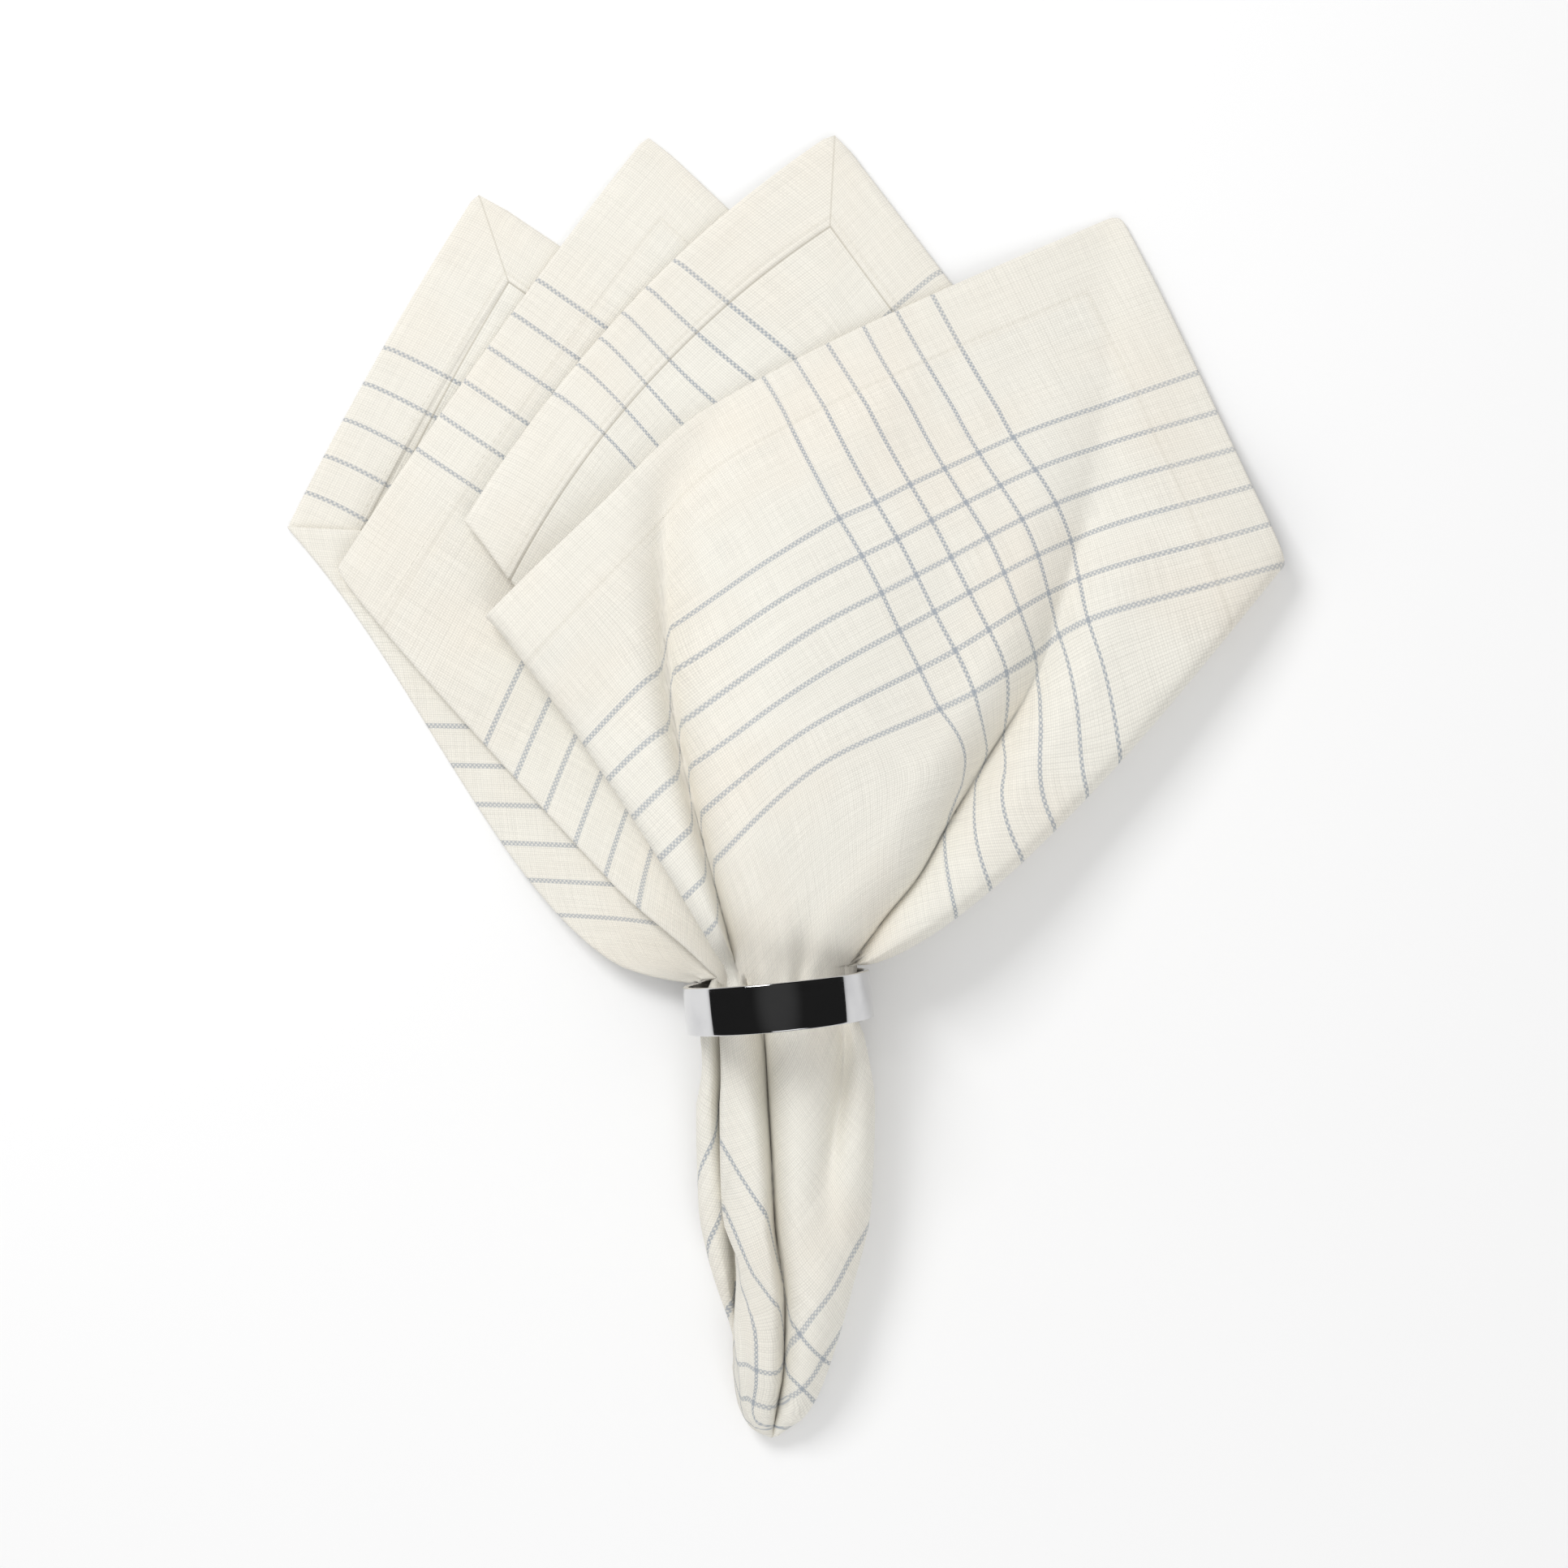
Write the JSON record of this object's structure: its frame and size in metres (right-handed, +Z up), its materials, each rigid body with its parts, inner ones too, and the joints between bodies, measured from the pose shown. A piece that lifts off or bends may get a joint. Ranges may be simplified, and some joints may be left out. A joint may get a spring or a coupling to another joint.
{
  "type": "cloth napkin in a ring",
  "caption": "Square cloth napkin drawn by its centre through a plain polished ring, its corners fanned out flat in folds, with thin woven lines.",
  "frame": {"origin": "centre of the bounding box, on the surface that the napkin lies on", "axes": "+X to the right seen from above, +Y from the tail to the fanned corners, +Z up from the surface"},
  "size_m": [0.2772, 0.3634, 0.0509],
  "materials": {
    "cloth": "matte plain weave",
    "metal": "polished"
  },
  "bodies": {
    "root": {"napkin": "cloth", "napkin_ring": "metal"}
  },
  "joints": []
}
